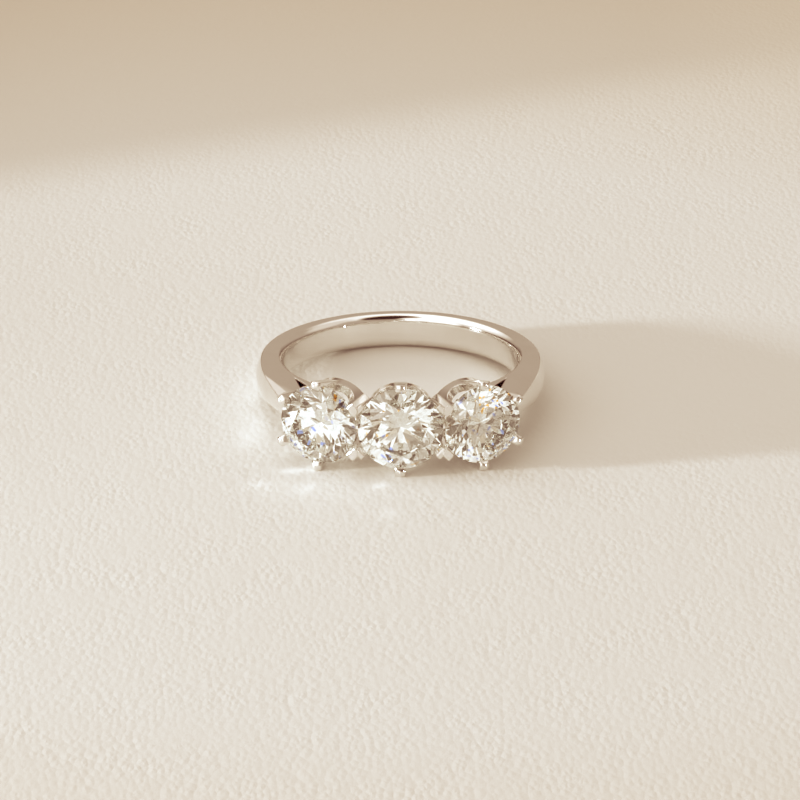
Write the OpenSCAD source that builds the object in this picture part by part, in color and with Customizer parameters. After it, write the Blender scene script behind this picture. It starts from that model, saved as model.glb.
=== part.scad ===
// Three stone ring: a tapered band whose shoulders rise to three six-claw heads, each holding a
// round brilliant. The ring lies on its side, as it rests on a table: on the lower claws of its
// heads and on the lower edge of the back of the band.
//
// Ring space: the finger's axis is Z, the heads point to -Y and the back of the band to +Y.
// Head space: Z points out through the stone's table, and the girdle's middle is at the origin.

/* [Finger hole] */
// Diameter of the finger hole
finger_d = 16.6; // [14:0.1:21]
// Radius of the rounding along both inner edges of the band
comfort_r = 0.66; // [0.64:0.02:1.2]
// Height of that rounding, measured along the finger
comfort_h = 0.58; // [0.2:0.02:0.62]

/* [Band] */
// Width of the band along the finger
band_w = 2.5; // [2:0.1:3.2]
// Thickness of the band's side face at the back
back_t = 0.95; // [0.8:0.05:1.3]
// Thickness of the band's side face at the sides
side_t = 1.58; // [1.35:0.05:2]
// Height of the outer face's rounded crown over its edges
crown_h = 0.38; // [0.1:0.02:0.6]

/* [Shoulders] */
// Angle past the ring's widest line at which the shoulders leave the round band and run straight
shoulder_start = 22; // [14:1:28]
// Radius of the curve that narrows each side of a shoulder towards its head
flank_r = 8.25; // [6:0.25:12]
// How far inside the finger hole's wall that curve begins
flank_in = 0.52; // [0.2:0.02:0.8]
// Angle past the widest line that the curve faces
flank_turn = 38; // [34:1:44]
// Angle past the widest line of the tip of the small facet on the curve's outer edge
facet_from = 19; // [14:1:26]
// Angle past the widest line of that facet's end, beside the claw
facet_to = 37; // [32:1:40]
// Distance of the facet's upper corners outside the band's outer edge
facet_out = 0.1; // [0:0.02:0.2]
// Slope of the facet
facet_slope = 27; // [24:1:40]
// Drop of the shoulder's end below the side stone's girdle
shoulder_drop = 0.6; // [0.4:0.05:1]
// Metal left between the finger hole and the tip of the pierced notch
notch_floor = 0.55; // [0.45:0.05:0.8]
// Angle past the widest line of the notch's tip
notch_tip = 33; // [28:1:36]
// Angle past the widest line of the notch's wide end
notch_end = 45; // [40:1:46]
// Rise of the notch's floor from its tip to its wide end
notch_rise = 0.25; // [0:0.05:0.4]
// Width of the notch at its wide end
notch_w = 0.65; // [0.3:0.05:0.9]

/* [Stones] */
// Diameter of the centre stone
centre_d = 5.86; // [5:0.02:6.4]
// Diameter of each side stone
side_d = 5.6; // [4.8:0.02:6]
// Share of a stone's diameter that its table takes, corner to corner
table_share = 0.57; // [0.5:0.01:0.65]
// Share of a stone's diameter that its girdle is thick
girdle_share = 0.03; // [0.02:0.005:0.05]
// Slope of the eight crown main facets
crown_angle = 34.5; // [30:0.5:36]
// Slope of the eight pavilion main facets
pavilion_angle = 40.8; // [38:0.2:42]
// Share of the crown's width that the star facets reach over
star_share = 0.5; // [0.4:0.05:0.6]
// Share of the pavilion's width that the lower girdle facets reach over
lower_share = 0.77; // [0.6:0.01:0.85]

/* [Heads] */
// Height of the centre stone's girdle over the finger hole
centre_rise = 3.45; // [3.2:0.05:4.2]
// Angle by which the side heads turn outwards
head_turn = 23; // [18:1:30]
// Clear space between two neighbouring stones
stone_gap = 0.1; // [0.06:0.02:0.3]
// How far the side stones' inner edges stand in front of the centre stone's girdle
side_forward = 0.15; // [0:0.05:0.4]
// Clear space between a stone's girdle and the metal of its seat
seat_gap = 0.05; // [0.03:0.01:0.08]
// Outer radius of the centre collar where it meets the finger hole; the side collars are in proportion
collar_r = 2.3; // [2.25:0.05:2.5]
// Wall of a collar
collar_wall = 0.6; // [0.4:0.05:0.75]
// Outward slope of a collar
collar_slope = 5.5; // [4:0.5:8]
// Depth of the arches between the claws, below the girdle
arch_depth = 2.35; // [1.8:0.05:2.6]
// Radius of the rounded foot of each arch
arch_r = 0.85; // [0.6:0.05:1]
// How far the finger hole's flare under the collars reaches past the band's side faces
flare_h = 1.5; // [1.4:0.05:1.8]
// How far that flare opens out
flare_out = 0.36; // [0.2:0.02:0.5]

/* [Claws] */
// Width of a claw at its tip
claw_tip_w = 0.7; // [0.6:0.02:0.9]
// Width of a claw at the collar's foot
claw_foot_w = 0.9; // [0.8:0.05:1.2]
// Least distance that a claw stands out past its stone's girdle
claw_out = 0.42; // [0.3:0.02:0.6]
// How far a claw's tip reaches in over its stone
claw_over = 0.22; // [0.12:0.02:0.3]
// Height of a claw's tip over the girdle's middle
claw_top = 0.62; // [0.5:0.01:0.7]
// How much larger the dome on a claw's tip is than the tip itself
claw_round = 0.1; // [0.05:0.01:0.3]
// How far a claw's tip is filed away on the stone's side
claw_bevel = 0.2; // [0.1:0.02:0.24]
// Outward lean of a claw's outer face
claw_lean = 16.5; // [14:0.5:20]
// Width at its tip of a claw where two heads meet
meet_tip_w = 0.76; // [0.7:0.02:0.9]
// How far outside its stone's girdle such a claw's tip begins
meet_in = 0.08; // [0:0.01:0.16]
// How far such a claw's tip is filed away on the stone's side
meet_bevel = 0.1; // [0.05:0.01:0.15]
// Turn of such a claw about its own length
meet_twist = 14; // [0:1:28]
// How much further out than the rest such claws of the centre head stand
centre_meet = 0.06; // [0:0.02:0.2]
// How much further out than the rest such claws of the side heads stand
side_meet = 0.26; // [0.1:0.02:0.4]

/* [Hidden] */
$fn = 96;

METAL = "gainsboro";
STONE = "azure";
CLAWS = 6;
MAINS = 8;
// Half the turn between two main facets, and half the turn between two girdle facets
STAR_TURN = 180 / MAINS;
HALF_TURN = 90 / MAINS;
// A brilliant's main facets would end just outside its girdle, and the rim of the block that they
// are laid out on lies well outside, both for a girdle radius of 1
TIP = 1.01;
RIM = 1.1;
// A length that runs past the whole ring, for cutting blocks
PAST = 2 * finger_d;
// A small overlap that keeps a cutter's face off the face of what it cuts
CUT = 0.2;
// How far the round band runs on inside each shoulder
SEAM = 0.1;

finger_r = finger_d / 2;
half_w = band_w / 2;
land = band_w - 2 * comfort_h;
// Radius of the finger hole's edge on the band's side faces
edge_r = finger_r + comfort_r - sqrt(pow(comfort_r, 2) - pow(comfort_h, 2));

// The band's outer edge is a circle set off towards the heads, so the band thins towards its back
back_r = finger_r + back_t;
side_r = finger_r + side_t;
outer_r = (back_r + pow(side_r, 2) / back_r) / 2;
outer_shift = outer_r - back_r;
crown_r = (pow(half_w, 2) + pow(crown_h, 2)) / (2 * crown_h);

function polar(r, a) = [r * cos(a), r * sin(a)];

// Height of the narrowing curve over a point of the plan
flank_at = finger_r - flank_in;
function on_flank(p) = half_w - flank_r
    + sqrt(pow(flank_r, 2) - pow(p * polar(1, -flank_turn) - flank_at, 2));
function facet_corner(a) = [0, -outer_shift] + polar(outer_r + facet_out, -a);

// The heads' places, as distances out from the ring's axis
centre_y = finger_r + centre_rise;
side_x = centre_d / 2 + stone_gap + side_d / 2 * cos(head_turn);
side_y = centre_y + side_forward - side_d / 2 * sin(head_turn);
// A head's collar and claws begin this far inside the finger hole, before it is cut
SUNK = 0.5;
function foot(rise) = -(rise + SUNK);
// Drop of a collar's upper end below the girdle, inside the claws
collar_drop = 0.5;
side_rise = norm([side_x, side_y]) - finger_r;
// Distance from the ring's middle at which the tips of two heads' claws join
meet_x = (centre_d + stone_gap) / 2;

claw_half = (claw_out + claw_over) / 2;
dome_r = claw_round + norm([claw_half, claw_tip_w / 2]);
// Height at which a claw's outer face ends at the dome
claw_knee = claw_top - dome_r + sqrt(pow(dome_r, 2) - pow(claw_half, 2));
centre_claw_y = centre_y + claw_knee;
side_claw_y = side_y + claw_knee * cos(head_turn);

// The flat surface that the ring rests on touches the back's lower edge and the lower claws of all
// three heads; it slopes as the head that needs the most room asks
function slope_for(stone_d, claw_y) = (stone_d / 2 + claw_out - half_w) / (claw_y + back_r);
rest_slope = max(slope_for(centre_d, centre_claw_y), slope_for(side_d, side_claw_y));
rest_tilt = atan(rest_slope);
centre_claw_r = half_w + (centre_claw_y + back_r) * rest_slope;
side_claw_r = half_w + (side_claw_y + back_r) * rest_slope;

// A brilliant for a girdle radius of 1: heights over the girdle's upper edge, depths under its lower
table_top = tan(crown_angle) * (1 - table_share);
star_in = table_share * cos(STAR_TURN);
star_r = star_in + star_share * (1 - star_in);
star_top = tan(crown_angle) * (1 - star_r * cos(STAR_TURN));
lower_r = 1 - lower_share;
lower_depth = tan(pavilion_angle) * (1 - lower_r * cos(STAR_TURN));
// Slope of the ridge that runs out from a facet tip at a radius and height to the main facets' tips
function ridge(r, height, slope) = (height - tan(slope) * (1 - TIP)) / (TIP - r);
upper_angle = atan(ridge(star_r, star_top, crown_angle) / cos(HALF_TURN));
lower_angle = atan(ridge(lower_r, lower_depth, pavilion_angle) / cos(HALF_TURN));

// The ring is lifted onto that surface and centred over the origin
lift = back_r * sin(rest_tilt) + half_w * cos(rest_tilt);
front_y = (centre_y + (girdle_share + table_top) * centre_d / 2) * cos(rest_tilt)
    + table_share * centre_d / 2 * sin(rest_tilt);
rear_y = (back_r + crown_h - crown_r) * cos(rest_tilt) + crown_r;
centre_shift = (front_y - rear_y) / 2;

// Turns head space into ring space
module at_head(x, y, turn) {
    translate([x, -y, 0]) rotate([0, 0, turn]) rotate([90, 0, 0]) children();
}

module at_centre_head() { at_head(0, centre_y, 0) children(); }
module at_right_head() { at_head(side_x, side_y, head_turn) children(); }
module at_left_head() { mirror([1, 0, 0]) at_right_head() children(); }

// Turns ring space into the pose in which the ring rests
module as_it_rests() {
    translate([0, centre_shift, lift]) rotate([-rest_tilt, 0, 0]) children();
}

// The band's section, from its outer edge well into the finger hole, with the crown past x = 0
module band_section() {
    depth = outer_r / 2;
    translate([-depth, -half_w]) square([depth, band_w]);
    intersection() {
        translate([crown_h - crown_r, 0]) circle(r = crown_r);
        translate([-crown_h, -half_w]) square([2 * crown_h, band_w]);
    }
}

// Puts X along the line where the right shoulder leaves the round band, from the middle of the
// band's outer edge
module at_shoulder() { translate([0, -outer_shift, 0]) rotate([0, 0, -shoulder_start]) children(); }

// The round part of the band, up to both shoulders and a little way into them
module round_band() {
    difference() {
        translate([0, -outer_shift, 0]) rotate_extrude() translate([outer_r, 0]) band_section();
        for (side = [0, 1]) mirror([side, 0, 0]) at_shoulder()
            translate([0, -PAST - SEAM, -band_w]) cube([PAST, PAST, 2 * band_w]);
    }
}

// What the narrowing curve takes off the upper side of the right shoulder
module flank_cut() {
    rotate([0, 0, -flank_turn]) translate([flank_at, 0, half_w - flank_r]) rotate([90, 0, 0])
        linear_extrude(PAST, center = true) difference() {
            square([flank_r, flank_r + band_w]);
            circle(r = flank_r);
        }
}

// What the facet takes off: everything above a plane that slopes out from the line between its corners
module facet_cut() {
    from = facet_corner(facet_from);
    to = facet_corner(facet_to);
    run = to - from;
    fall = on_flank(from) - on_flank(to);
    translate([from.x, from.y, on_flank(from)]) rotate([0, 0, atan2(run.y, run.x)])
        rotate([0, atan(fall / norm(run)), 0]) rotate([-facet_slope, 0, 0])
            translate([-norm(run), -PAST, 0]) cube([2 * norm(run), 2 * PAST, PAST]);
}

// The right shoulder: the band's section run straight on to the side head, with a pierced notch
// between the shoulder, the finger hole's rim and the head
module right_shoulder() {
    axis = polar(1, head_turn - 90);
    end = [side_x, -side_y] - axis * shoulder_drop;
    floor_r = finger_r + notch_floor;
    difference() {
        intersection() {
            at_shoulder() translate([outer_r, 0, 0]) rotate([90, 0, 0])
                linear_extrude(outer_r) band_section();
            linear_extrude(2 * band_w, center = true)
                polygon([[0, 0], [PAST, 0], end + polar(side_d, head_turn), end, end - axis * side_rise]);
        }
        linear_extrude(2 * band_w, center = true)
            polygon([polar(floor_r, -notch_tip), polar(floor_r + notch_rise, -notch_end),
                     polar(floor_r + notch_rise + notch_w, -notch_end)]);
    }
}

// The whole band, narrowed on all four sides of its shoulders
module band() {
    difference() {
        union() {
            round_band();
            right_shoulder();
            mirror([1, 0, 0]) right_shoulder();
        }
        for (x_side = [0, 1], z_side = [0, 1]) mirror([x_side, 0, 0]) mirror([0, 0, z_side]) {
            flank_cut();
            facet_cut();
        }
    }
}

// Half a cone's outline, round the head's axis: a radius at the finger hole, widened with the height
module cone_outline(rise, foot_r, slope, low, high) {
    polygon([[0, low], [foot_r + (low + rise) * tan(slope), low],
             [foot_r + (high + rise) * tan(slope), high], [0, high]]);
}

// A tapered collar with arches between the claws
module collar(rise, foot_r) {
    difference() {
        rotate_extrude() cone_outline(rise, foot_r, collar_slope, foot(rise), -collar_drop);
        for (i = [0 : CLAWS - 1]) rotate([0, 0, i * 360 / CLAWS])
            translate([0, 0, arch_r - arch_depth]) {
                rotate([0, 90, 0]) cylinder(r = arch_r, h = PAST);
                translate([0, -arch_r, 0]) cube([PAST, 2 * arch_r, arch_depth]);
            }
    }
}

// A claw with a flat tip, pointing out along X, cut from its side and front outlines
module flat_claw(rise, in_r, tip_r, in_foot, tip_w, bevel) {
    low = foot(rise);
    lean = tan(claw_lean);
    in_lean = (in_r - in_foot) / (claw_top + rise);
    intersection() {
        rotate([90, 0, 0]) linear_extrude(2 * claw_foot_w, center = true)
            polygon([[in_foot + (low + rise) * in_lean, low], [tip_r + (low - claw_knee) * lean, low],
                     [tip_r + (claw_top - claw_knee) * lean, claw_top], [in_r + bevel, claw_top],
                     [in_r, claw_top - bevel]]);
        rotate([90, 0, 90]) linear_extrude(PAST)
            polygon([[-claw_foot_w / 2, low], [claw_foot_w / 2, low],
                     [tip_w / 2, claw_top], [-tip_w / 2, claw_top]]);
    }
}

// Such a claw with a dome over its tip
module domed_claw(rise, in_r, tip_r, in_foot) {
    intersection() {
        flat_claw(rise, in_r, tip_r, in_foot, claw_tip_w, claw_bevel);
        translate([tip_r - claw_half, 0, claw_top - dome_r]) union() {
            sphere(r = dome_r);
            translate([-PAST, -PAST, -2 * PAST]) cube(2 * PAST);
        }
    }
}

// A head without its stone; the claws marked 1 or -1 turn to meet a neighbouring head's
module head(rise, stone_d, tip_r, meet, marks) {
    foot_r = collar_r * stone_d / centre_d;
    in_foot = foot_r - collar_wall;
    collar(rise, foot_r);
    for (i = [0 : CLAWS - 1]) rotate([0, 0, (i + 0.5) * 360 / CLAWS])
        if (marks[i] == 0)
            domed_claw(rise, stone_d / 2 - claw_over, tip_r, in_foot);
        else translate([tip_r, 0, 0]) rotate([0, 0, meet_twist * marks[i]]) translate([-tip_r, 0, 0])
            flat_claw(rise, stone_d / 2 + meet_in, tip_r + meet, in_foot, meet_tip_w, meet_bevel);
}

// The right head without its stone, its claws cut off halfway between its axis and the centre head's
module right_head() {
    join_x = (meet_x - side_x - claw_top * sin(head_turn)) / cos(head_turn);
    function plane_x(height) = join_x - (height - claw_top) * tan(head_turn / 2);
    difference() {
        head(side_rise, side_d, side_claw_r, side_meet, [0, 0, -1, 1, 0, 0]);
        rotate([90, 0, 0]) linear_extrude(PAST, center = true)
            polygon([[plane_x(-arch_depth), -arch_depth], [plane_x(side_d), side_d], [-PAST, side_d],
                     [-PAST, -arch_depth]]);
    }
}

// What is cut out of a head for its stone, and for the light below it
module head_hollow(rise, stone_d) {
    hole_r = collar_r * stone_d / centre_d - collar_wall;
    seat_r = stone_d / 2 + seat_gap;
    half_girdle = girdle_share * stone_d / 2;
    seat_top = half_girdle + seat_r / 2 * tan(upper_angle);
    union() {
        rotate_extrude() cone_outline(rise, hole_r, collar_slope, foot(rise) - CUT, -collar_drop);
        rotate_extrude() polygon([[0, -half_girdle - seat_r * tan(lower_angle)], [seat_r, -half_girdle],
                                  [seat_r, half_girdle], [seat_r / 2, seat_top], [0, seat_top]]);
    }
}

// The finger hole: a straight wall in the middle, rounded out to the band's side faces and flared
// past them, so that the collars' feet are shaped to the finger too
module finger_hole() {
    rotate_extrude() {
        translate([0, -PAST / 2]) square([finger_r, PAST]);
        for (side = [0, 1]) mirror([0, side]) {
            difference() {
                translate([finger_r - CUT, land / 2]) square([comfort_r + CUT, comfort_h]);
                translate([finger_r + comfort_r, land / 2]) circle(r = comfort_r);
            }
            polygon([[finger_r - CUT, half_w], [edge_r, half_w], [edge_r + flare_out, half_w + flare_h],
                     [finger_r - CUT, half_w + flare_h]]);
        }
    }
}

module band_with_heads() {
    color(METAL) as_it_rests() difference() {
        union() {
            band();
            at_centre_head() head(centre_rise, centre_d, centre_claw_r, centre_meet, [1, 0, -1, 1, 0, -1]);
            at_right_head() right_head();
            at_left_head() right_head();
        }
        finger_hole();
        at_centre_head() head_hollow(centre_rise, centre_d);
        at_right_head() head_hollow(side_rise, side_d);
        at_left_head() head_hollow(side_rise, side_d);
    }
}

// Points at equal turns round the axis
function ring(count, turn, r, z) = [for (i = [0 : count - 1]) [each polar(r, turn + i * 360 / count), z]];

// A block topped with the facets of one half of a brilliant, for a girdle radius of 1: a table or a
// point in the middle, the inner tips round it, the main facets' outer tips, and a rim and foot past
// the girdle. Between the inner tips and the rim lie the sixteen facets beside the girdle.
module facet_block(middle, inner_r, inner_top, slope) {
    tip_top = tan(slope) * (1 - TIP);
    rim_top = tip_top - ridge(inner_r, inner_top, slope) * (RIM - TIP);
    rims = 2 * MAINS;
    inner = len(middle);
    tip = inner + MAINS;
    rim = tip + MAINS;
    foot = rim + rims;
    points = concat(middle, ring(MAINS, STAR_TURN, inner_r, inner_top), ring(MAINS, 0, TIP, tip_top),
                    ring(rims, 0, RIM, rim_top), ring(rims, 0, RIM, -RIM));
    mains = [for (i = [0 : MAINS - 1])
        [i % inner, inner + i, tip + i, inner + (i + MAINS - 1) % MAINS]];
    stars = [for (i = [0 : inner - 1]) if (inner > 1) [i, (i + 1) % inner, inner + i]];
    girdles = [for (i = [0 : MAINS - 1], face = [
        [inner + i, rim + 2 * i + 1, rim + 2 * i, tip + i],
        [inner + i, tip + (i + 1) % MAINS, rim + (2 * i + 2) % rims, rim + 2 * i + 1]]) face];
    walls = [for (j = [0 : rims - 1]) [rim + j, rim + (j + 1) % rims, foot + (j + 1) % rims, foot + j]];
    table = [for (i = [inner - 1 : -1 : 0]) if (inner > 1) i];
    floor = [for (j = [0 : rims - 1]) foot + j];
    polyhedron(points, concat(mains, stars, girdles, walls, inner > 1 ? [table] : [], [floor]));
}

// A round brilliant: a table, 32 crown facets, a round girdle and 24 pavilion facets
module round_brilliant(d) {
    r = d / 2;
    intersection() {
        cylinder(r = r, h = 2 * d, center = true);
        translate([0, 0, girdle_share * r]) scale(r)
            facet_block(ring(MAINS, 0, table_share, table_top), star_r, star_top, crown_angle);
        mirror([0, 0, 1]) translate([0, 0, girdle_share * r]) scale(r)
            facet_block([[0, 0, tan(pavilion_angle)]], lower_r, lower_depth, pavilion_angle);
    }
}

module left_stone() { color(STONE) as_it_rests() at_left_head() round_brilliant(side_d); }
module centre_stone() { color(STONE) as_it_rests() at_centre_head() round_brilliant(centre_d); }
module right_stone() { color(STONE) as_it_rests() at_right_head() round_brilliant(side_d); }

band_with_heads();
left_stone();
centre_stone();
right_stone();
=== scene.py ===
"""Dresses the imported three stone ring: polished metal, cut stones, a pale floor and soft light.

Lengths are in millimetres in the classes' fields and become metres where a mesh is made. Ring
space has the finger's axis along Z and the heads towards -Y; the resting ring is that space tilted
back a little and set on the floor. Head space has Z out through a stone's table.
"""

import logging
import math
from dataclasses import dataclass, field
from enum import Enum
from typing import Any

import bmesh
import bpy
from mathutils import Matrix, Vector


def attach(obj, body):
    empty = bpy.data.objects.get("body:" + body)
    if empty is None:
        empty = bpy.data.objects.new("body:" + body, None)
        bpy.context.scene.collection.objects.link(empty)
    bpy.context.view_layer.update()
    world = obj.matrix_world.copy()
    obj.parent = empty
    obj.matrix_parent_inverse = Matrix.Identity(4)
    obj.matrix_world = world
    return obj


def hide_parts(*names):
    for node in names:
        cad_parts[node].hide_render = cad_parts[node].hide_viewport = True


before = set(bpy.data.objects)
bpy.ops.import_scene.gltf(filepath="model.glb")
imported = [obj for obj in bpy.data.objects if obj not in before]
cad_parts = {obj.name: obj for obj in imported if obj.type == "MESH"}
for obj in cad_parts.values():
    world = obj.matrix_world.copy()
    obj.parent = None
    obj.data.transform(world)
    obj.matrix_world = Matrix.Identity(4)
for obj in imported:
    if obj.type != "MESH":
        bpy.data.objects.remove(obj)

MM = 0.001
Corner = tuple[float, float, float]
Colour = tuple[float, float, float, float]
log = logging.getLogger("three_stone_ring")


def rgba(red: float, green: float, blue: float) -> Colour:
    """Returns an opaque linear colour."""
    return (red, green, blue, 1.0)


def round_point(radius: float, degrees: float, height: float) -> Corner:
    """Returns the point at a radius, an angle and a height about the Z axis."""
    turn = math.radians(degrees)
    return (radius * math.cos(turn), radius * math.sin(turn), height)


class NodeBench:
    """Lays out the nodes of a material or of the world, and joins them.

    Attributes:
        MIX_SOCKETS: Places of a mix node's two inputs and of its output, by what it mixes.
    """

    MIX_SOCKETS = {"RGBA": (6, 7, 2), "VECTOR": (4, 5, 1)}

    def __init__(self, owner: bpy.types.ID, output: str = "ShaderNodeOutputMaterial") -> None:
        """Empties the node tree.

        Args:
            owner: The new material or world.
            output: The type of the tree's last node.
        """
        self.owner = owner
        self.owner.use_nodes = True
        self.tree = self.owner.node_tree
        self.tree.nodes.clear()
        self.output = self.tree.nodes.new(output)

    def add(self, kind: str, settings: dict[str, Any] | None = None, **inputs: Any) -> bpy.types.Node:
        """Adds a node, sets its properties and fills its inputs.

        Args:
            kind: The node's type in Blender.
            settings: Properties of the node itself.
            **inputs: Values or output sockets by input name, with _ for a space.

        Returns:
            The new node.
        """
        node = self.tree.nodes.new(kind)
        for key, value in (settings or {}).items():
            setattr(node, key, value)
        for key, value in inputs.items():
            self.feed(node.inputs[key.replace("_", " ")], value)
        return node

    def feed(self, socket: bpy.types.NodeSocket, value: Any) -> None:
        """Joins an output socket to an input, or sets the input's value."""
        if isinstance(value, bpy.types.NodeSocket):
            self.tree.links.new(value, socket)
        else:
            socket.default_value = value

    def ramp(self, source: bpy.types.NodeSocket, low: float, high: float,
             low_at: float = 0.3, high_at: float = 0.7) -> bpy.types.NodeSocket:
        """Maps a pattern onto a range.

        Args:
            source: The pattern.
            low: The result where the pattern is at low_at or under.
            high: The result where it is at high_at or over.
            low_at: The pattern's lower bound.
            high_at: The pattern's upper bound.

        Returns:
            The socket of the mapped value.
        """
        node = self.add("ShaderNodeMapRange", Value=source, From_Min=low_at, From_Max=high_at,
                        To_Min=low, To_Max=high)
        return node.outputs["Result"]

    def maths(self, kind: str, first: Any, second: Any) -> bpy.types.NodeSocket:
        """Works out one number from two.

        Args:
            kind: How it is worked out, by Blender's name for it.
            first: The first number or socket.
            second: The second number or socket.

        Returns:
            The socket of the result.
        """
        node = self.add("ShaderNodeMath", {"operation": kind})
        self.feed(node.inputs[0], first)
        self.feed(node.inputs[1], second)
        return node.outputs[0]

    def blend(self, share: Any, first: Any, second: Any, kind: str = "RGBA") -> bpy.types.NodeSocket:
        """Mixes two colours or two places.

        Args:
            share: The second one's share.
            first: The first one or its socket.
            second: The second one or its socket.
            kind: What they are, by Blender's name for it.

        Returns:
            The socket of the mixture.
        """
        first_at, second_at, mixed_at = self.MIX_SOCKETS[kind]
        node = self.add("ShaderNodeMix", {"data_type": kind}, Factor=share)
        self.feed(node.inputs[first_at], first)
        self.feed(node.inputs[second_at], second)
        return node.outputs[mixed_at]

    def finish(self, shader: bpy.types.NodeSocket) -> bpy.types.ID:
        """Joins the last shader to the output and returns the material or world."""
        self.tree.links.new(shader, self.output.inputs["Surface"])
        return self.owner


@dataclass(frozen=True)
class PolishedMetal:
    """Rhodium-white polished gold: nearly a mirror, with soft edges and hairline wear.

    Attributes:
        colour: Colour of its reflection.
        worn_colour: The same where the wear is strongest.
        shine: Lowest and highest roughness.
        edge: Radius by which edges look rounded, in mm.
        edge_samples: Rays that look for an edge at each point.
        clouds: Patches of wear to a metre.
        hairs: Hairlines to a metre, along each axis.
        hair_h: Height of the hairlines, in mm.
        hairline: Strength of the hairline wear.
        swell: Length of the polish's faint swells, in mm.
        swell_h: Height of those swells, in mm.
    """

    colour: Colour = rgba(0.88, 0.875, 0.865)
    worn_colour: Colour = rgba(0.84, 0.835, 0.82)
    shine: tuple[float, float] = (0.04, 0.09)
    edge: float = 0.13
    edge_samples: int = 4
    clouds: float = 420.0
    hairs: Corner = (900.0, 900.0, 14000.0)
    hair_h: float = 0.002
    hairline: float = 0.04
    swell: float = 2.6
    swell_h: float = 0.012

    def material(self) -> bpy.types.Material:
        """Returns the finish as a material."""
        bench = NodeBench(bpy.data.materials.new("polished_metal"))
        place = bench.add("ShaderNodeTexCoord").outputs["Object"]
        cloud = bench.add("ShaderNodeTexNoise", Vector=place, Scale=self.clouds, Detail=3.0).outputs["Fac"]
        drawn = bench.add("ShaderNodeMapping", Vector=place, Scale=self.hairs).outputs["Vector"]
        hair = bench.add("ShaderNodeTexNoise", Vector=drawn, Scale=1.0, Detail=4.0).outputs["Fac"]
        soft = bench.add("ShaderNodeBevel", {"samples": self.edge_samples}, Radius=self.edge * MM)
        swells = bench.add("ShaderNodeTexNoise", Vector=place, Scale=1.0 / (self.swell * MM), Detail=1.0)
        waved = bench.add("ShaderNodeBump", Strength=1.0, Distance=self.swell_h * MM,
                          Height=swells.outputs["Fac"], Normal=soft.outputs["Normal"])
        worn = bench.add("ShaderNodeBump", Strength=self.hairline, Distance=self.hair_h * MM, Height=hair,
                         Normal=waved.outputs["Normal"])
        tint = bench.blend(bench.ramp(cloud, 0.0, 1.0), self.colour, self.worn_colour)
        metal = bench.add("ShaderNodeBsdfPrincipled", Base_Color=tint, Metallic=1.0,
                          Roughness=bench.ramp(cloud, *self.shine), Normal=worn.outputs["Normal"])
        return bench.finish(metal.outputs["BSDF"])


@dataclass(frozen=True)
class CutDiamond:
    """Colourless diamond with a very faint cloud, and painted fire: tints that stand in for split light.

    Attributes:
        bending: Refractive index.
        clear: Its colour, and the same where its cloud is strongest.
        clouds: Patches of that cloud to a metre.
        painted_fire_size: Size of a painted fire spot, a tint on the inner side of a facet standing in for
            split light, in mm.
        painted_fire_share: Share of the inner side that gets painted fire spots.
        painted_fire_tones: The warm and the cool painted fire spots' colours.
        cool_share: Share of the painted fire spots that are cool.
        let_through: Colour of the light that it lets through onto the floor.
    """

    bending: float = 2.42
    clear: tuple[Colour, Colour] = (rgba(0.992, 1.0, 1.0), rgba(0.975, 0.985, 0.978))
    clouds: float = 900.0
    painted_fire_size: float = 0.38
    painted_fire_share: float = 0.015
    painted_fire_tones: tuple[Colour, Colour] = (rgba(1.0, 0.50, 0.10), rgba(0.26, 0.46, 1.0))
    cool_share: float = 0.5
    let_through: Colour = rgba(0.55, 0.55, 0.55)

    def material(self) -> bpy.types.Material:
        """Returns the finish as a material."""
        bench = NodeBench(bpy.data.materials.new("cut_diamond"))
        place = bench.add("ShaderNodeTexCoord").outputs["Object"]
        cloud = bench.add("ShaderNodeTexNoise", Vector=place, Scale=self.clouds, Detail=2.0).outputs["Fac"]
        body = bench.blend(bench.ramp(cloud, 0.0, 1.0), *self.clear)
        # Painted fire: a few cells on the facets' inner sides are tinted warm or cool, standing in for the
        # light that a diamond splits into colours.
        cells = bench.add("ShaderNodeTexVoronoi", Vector=place, Scale=1.0 / (self.painted_fire_size * MM))
        chance = bench.add("ShaderNodeSeparateColor", Color=cells.outputs["Color"])
        painted_fire_hue = bench.blend(bench.maths("LESS_THAN", chance.outputs["Green"], self.cool_share),
                          *self.painted_fire_tones)
        painted_fire_spots = bench.maths("LESS_THAN", chance.outputs["Red"], self.painted_fire_share)
        inside = bench.add("ShaderNodeNewGeometry").outputs["Backfacing"]
        tone = bench.blend(bench.maths("MULTIPLY", painted_fire_spots, inside), body, painted_fire_hue)
        glass = bench.add("ShaderNodeBsdfGlass", Color=tone, Roughness=0.0, IOR=self.bending)
        shadow = bench.add("ShaderNodeBsdfTransparent", Color=self.let_through)
        both = bench.add("ShaderNodeMixShader", Fac=bench.add("ShaderNodeLightPath").outputs["Is Shadow Ray"])
        bench.feed(both.inputs[1], glass.outputs["BSDF"])
        bench.feed(both.inputs[2], shadow.outputs["BSDF"])
        return bench.finish(both.outputs["Shader"])


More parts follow.
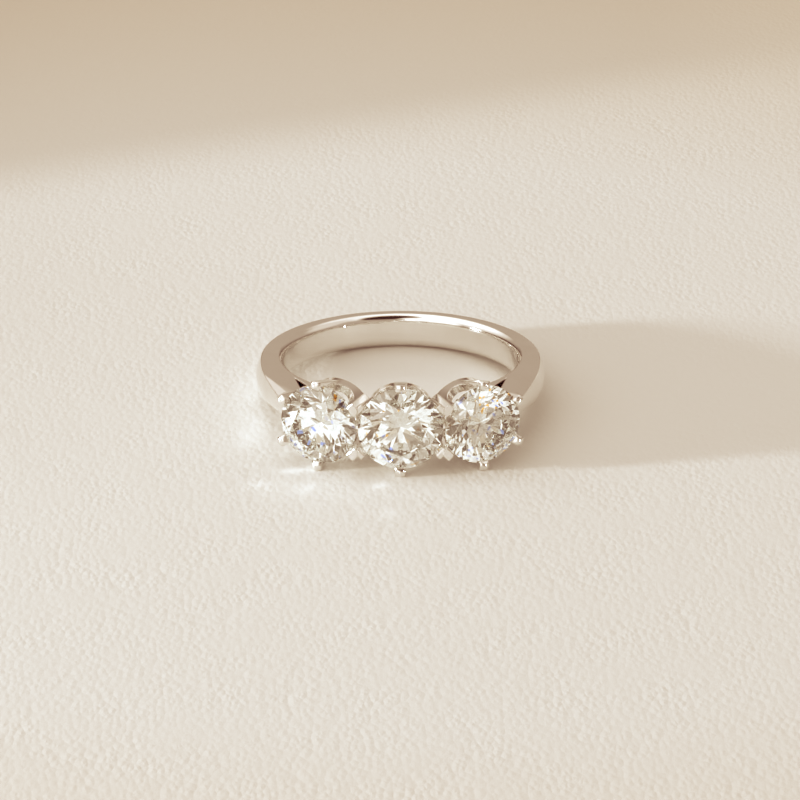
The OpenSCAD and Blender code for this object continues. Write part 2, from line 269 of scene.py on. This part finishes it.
@dataclass(frozen=True)
class PaleLeather:
    """The stage's pale, finely grained surface, with a painted pool of light round the ring that fades to
    painted shade farther away.

    Attributes:
        colour: Its own colour, shown in full in the painted pool of light round the ring.
        painted_shade_colour: The darker, warmer colour painted farther from the ring, as painted shade.
        grain: Width and depth of a pebble of the grain, in mm.
        bend: Size, in pebbles, of the waves that bend the rows of pebbles, and their strength.
        softness: How softly pebbles run into one another.
        relief: Height of the grain, in mm.
        flats: Smoother patches to a metre.
        flat_share: The grain's share of its height in those patches.
        roughness: How dull it is.
        pale: Half width and half depth of the painted pool of light round the ring, in mm.
        painted_pool_core: Share of that painted pool of light that is palest.
    """

    colour: Colour = rgba(0.665, 0.675, 0.668)
    painted_shade_colour: Colour = rgba(0.545, 0.505, 0.455)
    grain: tuple[float, float] = (0.26, 0.42)
    bend: tuple[float, float] = (1.25, 0.35)
    softness: float = 0.3
    relief: float = 0.03
    flats: float = 260.0
    flat_share: float = 0.35
    roughness: float = 0.6
    pale: tuple[float, float] = (130.0, 110.0)
    painted_pool_core: float = 0.4

    def material(self) -> bpy.types.Material:
        """Returns the finish as a material."""
        bench = NodeBench(bpy.data.materials.new("pale_leather"))
        place = bench.add("ShaderNodeTexCoord").outputs["Object"]
        pebbles = tuple(1 / (side * MM) for side in self.grain) + (1.0,)
        laid = bench.add("ShaderNodeMapping", Vector=place, Scale=pebbles).outputs["Vector"]
        wave_length, bent_share = self.bend
        waves = bench.add("ShaderNodeTexNoise", Vector=laid, Scale=1 / wave_length, Detail=2.0)
        bent = bench.blend(bent_share, laid, waves.outputs["Color"], "VECTOR")
        cells = bench.add("ShaderNodeTexVoronoi", {"feature": "SMOOTH_F1"}, Vector=bent, Scale=1.0,
                          Smoothness=self.softness)
        flat = bench.add("ShaderNodeTexNoise", Vector=place, Scale=self.flats, Detail=3.0).outputs["Fac"]
        high = bench.maths("MULTIPLY", cells.outputs["Distance"], bench.ramp(flat, self.flat_share, 1.0))
        bump = bench.add("ShaderNodeBump", {"invert": True}, Strength=1.0, Distance=self.relief * MM,
                         Height=high)
        # Painted light and shade: the floor is painted palest round the ring and darker and warmer farther
        # away, as if the light fell off.
        shares = tuple(1 / (half * MM) for half in self.pale) + (0.0,)
        pool_place = bench.add("ShaderNodeMapping", Vector=place, Scale=shares).outputs["Vector"]
        away = bench.add("ShaderNodeVectorMath", {"operation": "LENGTH"})
        bench.feed(away.inputs[0], pool_place)
        tone = bench.blend(bench.ramp(away.outputs["Value"], 0.0, 1.0, self.painted_pool_core, 1.0),
                           self.colour, self.painted_shade_colour)
        hide = bench.add("ShaderNodeBsdfPrincipled", Base_Color=tone, Roughness=self.roughness,
                         Normal=bump.outputs["Normal"])
        return bench.finish(hide.outputs["BSDF"])


@dataclass(frozen=True)
class RingPlan:
    """The ring's driving sizes, in mm, and the places that follow from them.

    Attributes:
        finger_r: Radius of the finger hole.
        half_w: Half the band's width.
        back_t: Thickness of the band at the back.
        crown_h: Height of the outer face's crown over its edges.
        centre_d: Diameter of the centre stone.
        side_d: Diameter of each side stone.
        centre_rise: Height of the centre girdle over the finger hole.
        head_turn: Outward turn of the side heads, in degrees.
        stone_gap: Clear space between neighbouring stones.
        side_forward: How far the side stones' inner edges stand forward.
        claw_out: Least distance that a claw stands out past its stone.
        claw_over: How far a claw's tip reaches in over its stone.
        claw_tip_w: Width of a claw at its tip.
        claw_top: Height of a claw's tip over its stone's girdle.
        claw_round: How much larger the dome on a claw's tip is than the tip itself.
        table_share: Share of a stone's diameter that its table takes.
        girdle_share: Share of a stone's diameter that its girdle is thick.
        crown_angle: Slope of the crown main facets, in degrees.
    """

    finger_r: float = 8.3
    half_w: float = 1.25
    back_t: float = 0.95
    crown_h: float = 0.38
    centre_d: float = 5.86
    side_d: float = 5.6
    centre_rise: float = 3.45
    head_turn: float = 23.0
    stone_gap: float = 0.1
    side_forward: float = 0.15
    claw_out: float = 0.42
    claw_over: float = 0.22
    claw_tip_w: float = 0.7
    claw_top: float = 0.62
    claw_round: float = 0.1
    table_share: float = 0.57
    girdle_share: float = 0.03
    crown_angle: float = 34.5

    @property
    def back_r(self) -> float:
        """Radius of the band's outer edge at the back."""
        return self.finger_r + self.back_t

    @property
    def centre_y(self) -> float:
        """Distance of the centre girdle from the finger's axis."""
        return self.finger_r + self.centre_rise

    @property
    def side_place(self) -> tuple[float, float]:
        """Distance of a side girdle sideways and forwards from the finger's axis."""
        turn = math.radians(self.head_turn)
        across = self.centre_d / 2 + self.stone_gap + self.side_d / 2 * math.cos(turn)
        ahead = self.centre_y + self.side_forward - self.side_d / 2 * math.sin(turn)
        return (across, ahead)

    @property
    def claw_knee(self) -> float:
        """Height over the girdle at which a claw's outer face ends at the dome on its tip."""
        half = (self.claw_out + self.claw_over) / 2
        dome_r = self.claw_round + math.hypot(half, self.claw_tip_w / 2)
        return self.claw_top - dome_r + math.sqrt(dome_r ** 2 - half ** 2)

    @property
    def tilt(self) -> float:
        """Angle between the ring's plane and the floor, in radians."""
        claw_r = self.centre_d / 2 + self.claw_out
        return math.atan((claw_r - self.half_w) / (self.centre_y + self.claw_knee + self.back_r))

    def at_rest(self) -> Matrix:
        """Returns the matrix from ring space in mm to the resting ring in mm."""
        sine, cosine = math.sin(self.tilt), math.cos(self.tilt)
        lift = self.back_r * sine + self.half_w * cosine
        table_h = math.tan(math.radians(self.crown_angle)) * (1 - self.table_share)
        front = ((self.centre_y + (self.girdle_share + table_h) * self.centre_d / 2) * cosine
                 + self.table_share * self.centre_d / 2 * sine)
        crown_r = (self.half_w ** 2 + self.crown_h ** 2) / (2 * self.crown_h)
        rear = (self.back_r + self.crown_h - crown_r) * cosine + crown_r
        shift = (front - rear) / 2
        return Matrix.Translation((0, shift, lift)) @ Matrix.Rotation(-self.tilt, 4, "X")

    def at_head(self, side: int) -> Matrix:
        """Returns the matrix from a head's space in mm to the resting ring in mm.

        Args:
            side: -1 for the left head, 0 for the centre one and 1 for the right one.

        Returns:
            The matrix.
        """
        across, ahead = self.side_place if side else (0.0, self.centre_y)
        turn = math.radians(self.head_turn) * side
        return (self.at_rest() @ Matrix.Translation((side * across, -ahead, 0))
                @ Matrix.Rotation(turn, 4, "Z") @ Matrix.Rotation(math.pi / 2, 4, "X"))


def new_piece(name: str, mesh: bmesh.types.BMesh, place: Matrix) -> bpy.types.Object:
    """Makes an object of a mesh in mm.

    Args:
        name: The object's name.
        mesh: The mesh, which is used up.
        place: Matrix from the mesh's space to the resting ring, both in mm.

    Returns:
        The new object, in metres, with its origin at the row's.
    """
    bmesh.ops.transform(mesh, matrix=Matrix.Scale(MM, 4) @ place, verts=mesh.verts)
    bmesh.ops.recalc_face_normals(mesh, faces=mesh.faces)
    data = bpy.data.meshes.new(name)
    mesh.to_mesh(data)
    mesh.free()
    piece = bpy.data.objects.new(name, data)
    bpy.context.scene.collection.objects.link(piece)
    return piece


class StonePlace(Enum):
    """The three stones, by the side that each stands on."""

    LEFT = -1
    CENTRE = 0
    RIGHT = 1


@dataclass
class Brilliant:
    """A round brilliant cut stone, facet by facet.

    Attributes:
        place: Which stone it is.
        plan: The ring's sizes.
        finish: What it is made of.
        mains: Number of main facets.
        pavilion_angle: Slope of the pavilion main facets, in degrees.
        star_share: Share of the crown's width that the star facets reach over.
        lower_share: Share of the pavilion's width that the lower facets reach over.
        arc_steps: Straight steps along each girdle facet's curved edge.
    """

    place: StonePlace
    plan: RingPlan
    finish: CutDiamond
    mains: int = 8
    pavilion_angle: float = 40.8
    star_share: float = 0.5
    lower_share: float = 0.77
    arc_steps: int = 6
    piece: bpy.types.Object = field(init=False)

    @property
    def name(self) -> str:
        """The CAD node that the stone stands for."""
        return f"{self.place.name.lower()}_stone"

    def build(self) -> None:
        """Builds the stone's mesh and puts it in its head."""
        plan = self.plan
        radius = (plan.side_d if self.place.value else plan.centre_d) / 2
        mesh = bmesh.new()
        star_turn = 180 / self.mains
        table_top = math.tan(math.radians(plan.crown_angle)) * (1 - plan.table_share)
        star_in = plan.table_share * math.cos(math.radians(star_turn))
        star_r = star_in + self.star_share * (1 - star_in)
        crown = self.half(mesh, radius, plan.crown_angle, star_r, +1)
        pavilion = self.half(mesh, radius, self.pavilion_angle, 1 - self.lower_share, -1)
        table = [mesh.verts.new(round_point(plan.table_share * radius, 2 * star_turn * i,
                                            (plan.girdle_share + table_top) * radius))
                 for i in range(self.mains)]
        depth = plan.girdle_share + math.tan(math.radians(self.pavilion_angle))
        culet = mesh.verts.new((0, 0, -depth * radius))
        mesh.faces.new(table)
        for i in range(self.mains):
            tips, rim = crown
            mesh.faces.new((table[i], table[(i + 1) % self.mains], tips[i]))
            mesh.faces.new((table[i], tips[i], rim[2 * i * self.arc_steps], tips[i - 1]))
            tips, rim = pavilion
            mesh.faces.new((culet, tips[i], rim[2 * i * self.arc_steps], tips[i - 1]))
        upper, lower = crown[1], pavilion[1]
        for i in range(len(upper)):
            mesh.faces.new((upper[i - 1], upper[i], lower[i], lower[i - 1]))
        self.piece = new_piece(self.name + "_cut", mesh, plan.at_head(self.place.value))

    def half(self, mesh: bmesh.types.BMesh, radius: float, slope: float, tip_r: float,
             up: int) -> tuple[list[bmesh.types.BMVert], list[bmesh.types.BMVert]]:
        """Adds the facets beside the girdle on one half of the stone.

        Args:
            mesh: The stone's mesh.
            radius: The girdle's radius.
            slope: Slope of this half's main facets, in degrees.
            tip_r: Radius of this half's inner tips, for a girdle radius of 1.
            up: 1 for the crown and -1 for the pavilion.

        Returns:
            The inner tips, and the girdle's edge from the first main facet round.
        """
        fall = math.tan(math.radians(slope))
        star_turn = 180 / self.mains
        tip_h = fall * (1 - tip_r * math.cos(math.radians(star_turn)))
        half_turn = math.radians(star_turn / 2)
        steep = tip_h / (math.cos(half_turn) * (1 - tip_r))
        base = self.plan.girdle_share
        tips = [mesh.verts.new(round_point(tip_r * radius, star_turn * (2 * i + 1),
                                           up * (base + tip_h) * radius)) for i in range(self.mains)]
        rim = []
        for i in range(2 * self.mains):
            for step in range(self.arc_steps):
                off = half_turn * (2 * step / self.arc_steps - 1)
                height = base + steep * (math.cos(half_turn) - math.cos(off))
                degrees = star_turn * (i + step / self.arc_steps)
                rim.append(mesh.verts.new(round_point(radius, degrees, up * height * radius)))
        for i in range(2 * self.mains):
            first = i * self.arc_steps
            arc = [rim[(first + step) % len(rim)] for step in range(self.arc_steps + 1)]
            mesh.faces.new([tips[i // 2]] + arc)
        return tips, rim

    def dress(self) -> None:
        """Gives the stone its finish and its place in the model."""
        self.piece.data.materials.append(self.finish.material())
        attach(self.piece, "root")
        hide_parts(self.name)
        self.name


@dataclass
class BandWithHeads:
    """The metal, in one soldered piece: the band, its collars and its claws.

    Attributes:
        finish: Its finish.
    """

    finish: PolishedMetal
    piece: bpy.types.Object = field(init=False)

    def build(self) -> None:
        """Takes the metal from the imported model."""
        self.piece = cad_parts["band_with_heads"]

    def dress(self) -> None:
        """Gives the metal its finish."""
        self.piece.data.materials.clear()
        self.piece.data.materials.append(self.finish.material())


def towards(azimuth: float, elevation: float) -> Vector:
    """Returns a direction: azimuth 0 is behind the ring and 90 to its right, in degrees."""
    turn, rise = math.radians(azimuth), math.radians(elevation)
    return Vector((math.sin(turn) * math.cos(rise), math.cos(turn) * math.cos(rise), math.sin(rise)))


@dataclass(frozen=True)
class KeyWindow:
    """The low, small window on the left that casts the long shadow, and the cards in front of it.

    Attributes:
        azimuth: Its direction from the ring: 0 is behind it, 90 to the right and 180 in front.
        elevation: Its height above the floor, in degrees.
        distance: How far away it stands, in mm.
        size: Its side, in mm.
        brightness: How bright it looks, beside a white wall in full light.
        colour: Its colour.
        card_shadows: Floor points, in mm, round each patch that a card keeps dark: one behind the
            ring, and one on the left, outside the picture.
        card_near: How far a card stands from the floor towards the window, as a share of the way.
        card_tone: The cards' colour.
    """

    azimuth: float = 260.0
    elevation: float = 8.0
    distance: float = 420.0
    size: float = 28.0
    brightness: float = 1080.0
    colour: tuple[float, float, float] = (0.98, 1.0, 1.0)
    card_shadows: tuple[tuple[tuple[float, float], ...], ...] = (
        ((-45.0, 35.5), (50.0, 76.0), (60.0, 250.0), (-60.0, 250.0)),
        ((-52.0, -15.0), (-46.0, 35.0), (-60.0, 250.0), (-360.0, 100.0), (-360.0, -60.0)),
    )
    card_near: float = 0.25
    card_tone: Colour = rgba(0.15, 0.15, 0.15)

    def build(self) -> None:
        """Puts the window and its cards in the scene."""
        data = bpy.data.lights.new("key_window", "AREA")
        data.size = self.size * MM
        data.energy = self.brightness * math.pi * data.size ** 2
        data.color = self.colour
        lamp = bpy.data.objects.new("key_window", data)
        away = towards(self.azimuth, self.elevation)
        lamp.location = away * self.distance * MM
        lamp.rotation_euler = (-away).to_track_quat("-Z", "Y").to_euler()
        bpy.context.scene.collection.objects.link(lamp)
        mesh = bmesh.new()
        for shadow in self.card_shadows:
            edge = [Vector((*spot, 0.0)).lerp(away * self.distance, self.card_near) for spot in shadow]
            mesh.faces.new([mesh.verts.new(corner) for corner in edge])
        cards = new_piece("cards", mesh, Matrix.Identity(4))
        bench = NodeBench(bpy.data.materials.new("card"))
        paper = bench.add("ShaderNodeBsdfDiffuse", Color=self.card_tone)
        cards.data.materials.append(bench.finish(paper.outputs["BSDF"]))


@dataclass(frozen=True)
class RoomPatch:
    """A round patch of the room with a soft edge: a window, a reflector or something dark.

    Attributes:
        name: What it stands for.
        azimuth: Its direction from the ring, in degrees.
        elevation: Its height above the floor, in degrees.
        core: Angle from its middle at which it begins to fade, in degrees.
        rim: Angle from its middle at which it has faded out, in degrees.
        tone: How bright it is.
    """

    name: str
    azimuth: float
    elevation: float
    core: float
    rim: float
    tone: Colour


@dataclass(frozen=True)
class Room:
    """The room, which lights the ring softly and shows in its metal.

    Attributes:
        horizon: Its tone at the level of the floor.
        wall: Its tone at the height where it mirrors in the band's flat side.
        ceiling: Its tone overhead.
        wall_at: That height, in degrees.
        ceiling_from: Height at which the wall begins to turn into the ceiling, in degrees.
        ceiling_at: Height at which it has done so, in degrees.
        patches: What stands out from the walls, each over those before it.
    """

    horizon: Colour = rgba(0.07, 0.07, 0.07)
    wall: Colour = rgba(0.40, 0.40, 0.40)
    ceiling: Colour = rgba(1.06, 1.06, 1.06)
    wall_at: float = 14.0
    ceiling_from: float = 36.0
    ceiling_at: float = 54.0
    patches: tuple[RoomPatch, ...] = (
        RoomPatch("bright_left", 280.0, 60.0, 28.0, 52.0, rgba(1.30, 1.30, 1.30)),
        RoomPatch("pale_right", 88.0, 38.0, 14.0, 26.0, rgba(0.72, 0.72, 0.72)),
        RoomPatch("dark_front", 165.0, 54.0, 20.0, 27.0, rgba(0.02, 0.02, 0.02)),
        RoomPatch("front_window", 210.0, 22.0, 27.0, 33.0, rgba(1.25, 1.25, 1.25)),
        RoomPatch("camera", 180.0, 25.4, 3.5, 5.0, rgba(0.03, 0.03, 0.03)),
        RoomPatch("small_lamp", 128.0, 5.0, 2.0, 3.5, rgba(45.0, 45.0, 45.0)),
    )

    def build(self) -> None:
        """Makes the world's background."""
        bench = NodeBench(bpy.data.worlds.new("room"), "ShaderNodeOutputWorld")
        look = bench.add("ShaderNodeTexCoord").outputs["Generated"]
        height = bench.add("ShaderNodeSeparateXYZ", Vector=look).outputs["Z"]
        wall_z, from_z, at_z = (math.sin(math.radians(degrees))
                                for degrees in (self.wall_at, self.ceiling_from, self.ceiling_at))
        tone = bench.blend(bench.ramp(height, 0.0, 1.0, 0.0, wall_z), self.horizon, self.wall)
        tone = bench.blend(bench.ramp(height, 0.0, 1.0, from_z, at_z), tone, self.ceiling)
        for patch in self.patches:
            near = bench.add("ShaderNodeVectorMath", {"operation": "DOT_PRODUCT", "label": patch.name})
            bench.feed(near.inputs[0], look)
            bench.feed(near.inputs[1], towards(patch.azimuth, patch.elevation))
            rim, core = (math.cos(math.radians(degrees)) for degrees in (patch.rim, patch.core))
            tone = bench.blend(bench.ramp(near.outputs["Value"], 0.0, 1.0, rim, core), tone, patch.tone)
        light = bench.add("ShaderNodeBackground", Color=tone)
        bpy.context.scene.world = bench.finish(light.outputs["Background"])


@dataclass(frozen=True)
class Glint:
    """A patch of light that the ring throws back onto the floor.

    Attributes:
        name: Its name.
        spot: Its place on the floor, in mm.
        size: Its width and depth, in mm.
        turn: Its turn about the upright, in degrees.
        brightness: How much light it adds, beside a white wall in full light.
        height: Height of its small lamp over the floor, in mm.
    """

    name: str
    spot: tuple[float, float]
    size: tuple[float, float]
    turn: float
    brightness: float
    height: float = 0.9

    def build(self) -> None:
        """Hangs its small lamp, which nothing mirrors, over the floor."""
        data = bpy.data.lights.new(self.name, "AREA")
        data.shape = "ELLIPSE"
        data.size, data.size_y = self.size[0] * MM, self.size[1] * MM
        area = math.pi / 4 * data.size * data.size_y
        data.energy = self.brightness * math.pi * area
        lamp = bpy.data.objects.new(self.name, data)
        lamp.location = Vector((*self.spot, self.height)) * MM
        lamp.rotation_euler = (0.0, 0.0, math.radians(self.turn))
        lamp.visible_camera = False
        lamp.visible_glossy = False
        lamp.visible_transmission = False
        bpy.context.scene.collection.objects.link(lamp)


@dataclass(frozen=True)
class WarmGrade:
    """The picture's warm tones, which deepen towards the shadows.

    Attributes:
        powers: The power that each of red, green and blue is raised to, in black and in lighter tones.
        lighter: Brightness from which the second power holds.
        knots: Brightnesses between 0 and 1 at which a tone curve is set.
    """

    powers: tuple[tuple[float, float], ...] = ((0.75, 0.75), (1.0, 1.0), (1.06, 1.3))
    lighter: float = 0.3
    knots: tuple[float, ...] = (0.02, 0.08, 0.2, 0.4, 0.7)

    def apply(self) -> None:
        """Sets the tone curves of the picture's view."""
        view = bpy.context.scene.view_settings
        view.view_transform = "Standard"
        view.use_curve_mapping = True
        for curve, (dark_power, light_power) in zip(view.curve_mapping.curves, self.powers):
            for knot in self.knots:
                share = min(1.0, knot / self.lighter)
                curve.points.new(knot, knot ** (dark_power + share * (light_power - dark_power)))
        view.curve_mapping.update()


@dataclass
class Studio:
    """The stage: a pale surface, the light and the camera.

    Attributes:
        aim: The point that the camera was fitted round, in mm.
        aim_at: Where that point lies in the 800 pixel picture.
        distance: Distance from the camera to that point, in mm.
        elevation: Angle of the line to that point above the floor, in degrees.
        focal: Focal length in pixels.
        picture: Side of the picture in pixels.
        sensor: Width of the camera's sensor, in mm.
        in_view: Nearest and farthest distance that the camera shows, in mm.
        bounces: Most bounces of a ray off polished surfaces, and in all.
        floor_half: Half the side of the floor, in mm.
        floor_steps: Faces along each side of the floor.
        glints: The light that the ring throws back.
    """

    aim: Corner = (0.0, 1.7271, 3.3878)
    aim_at: tuple[float, float] = (400.6, 353.4)
    distance: float = 260.0
    elevation: float = 25.38
    focal: float = 3648.0
    picture: float = 800.0
    sensor: float = 36.0
    in_view: tuple[float, float] = (10.0, 10000.0)
    bounces: tuple[int, int] = (10, 14)
    floor_half: float = 900.0
    floor_steps: int = 8
    glints: tuple[Glint, ...] = (
        Glint("inside_fill", (0.0, 0.5), (11.0, 9.0), 0.0, 0.12, 1.0),
        Glint("front_fill", (-1.0, -12.6), (19.0, 3.0), 0.0, 0.16, 1.6),
        Glint("side_glint", (-10.3, -3.8), (1.4, 6.0), -12.0, 0.32, 0.9),
        Glint("left_glint", (-7.0, -9.9), (3.0, 0.4), 12.0, 0.90, 0.4),
        Glint("far_left_glint", (-9.6, -12.0), (1.6, 0.4), 20.0, 0.50, 0.4),
        Glint("low_left_glint", (-6.4, -12.6), (0.5, 2.0), -30.0, 0.40, 0.4),
        Glint("centre_glint", (-1.4, -12.2), (1.2, 0.6), 25.0, 0.70, 0.4),
        Glint("front_glint", (-0.8, -16.2), (0.8, 1.4), -15.0, 0.30, 0.5),
    )

    def build(self) -> None:
        """Builds the floor, the lights and the camera."""
        WarmGrade().apply()
        tracing = bpy.context.scene.cycles
        tracing.glossy_bounces, tracing.max_bounces = self.bounces
        self.floor()
        Room().build()
        KeyWindow().build()
        for glint in self.glints:
            glint.build()
        self.camera()

    def floor(self) -> None:
        """Lays the floor."""
        mesh = bmesh.new()
        bmesh.ops.create_grid(mesh, x_segments=self.floor_steps, y_segments=self.floor_steps,
                              size=self.floor_half)
        piece = new_piece("floor", mesh, Matrix.Identity(4))
        piece.data.materials.append(PaleLeather().material())

    def camera(self) -> None:
        """Sets up the camera so that the aim point falls where the picture has it."""
        data = bpy.data.cameras.new("camera")
        data.sensor_width = self.sensor
        data.lens = self.focal / self.picture * self.sensor
        data.clip_start, data.clip_end = (reach * MM for reach in self.in_view)
        eye = bpy.data.objects.new("camera", data)
        rise = math.radians(self.elevation)
        eye.location = (Vector(self.aim) + towards(180.0, self.elevation) * self.distance) * MM
        down = math.atan((self.picture / 2 - self.aim_at[1]) / self.focal)
        left = math.atan((self.aim_at[0] - self.picture / 2) / self.focal)
        eye.rotation_euler = (math.pi / 2 - rise - down, 0.0, left)
        bpy.context.scene.collection.objects.link(eye)
        bpy.context.scene.camera = eye


def main() -> None:
    """Builds and dresses every piece, logs its number of faces, and builds the studio."""
    logging.basicConfig(level=logging.INFO, format="%(message)s")
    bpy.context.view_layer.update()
    plan = RingPlan()
    metal = BandWithHeads(PolishedMetal())
    diamond = CutDiamond()
    stones = [Brilliant(place, plan, diamond) for place in StonePlace]
    for part in (metal, *stones):
        part.build()
        part.dress()
        log.info("%s: %d faces", part.piece.name, len(part.piece.data.polygons))
    Studio().build()


if __name__ == "__main__":
    main()
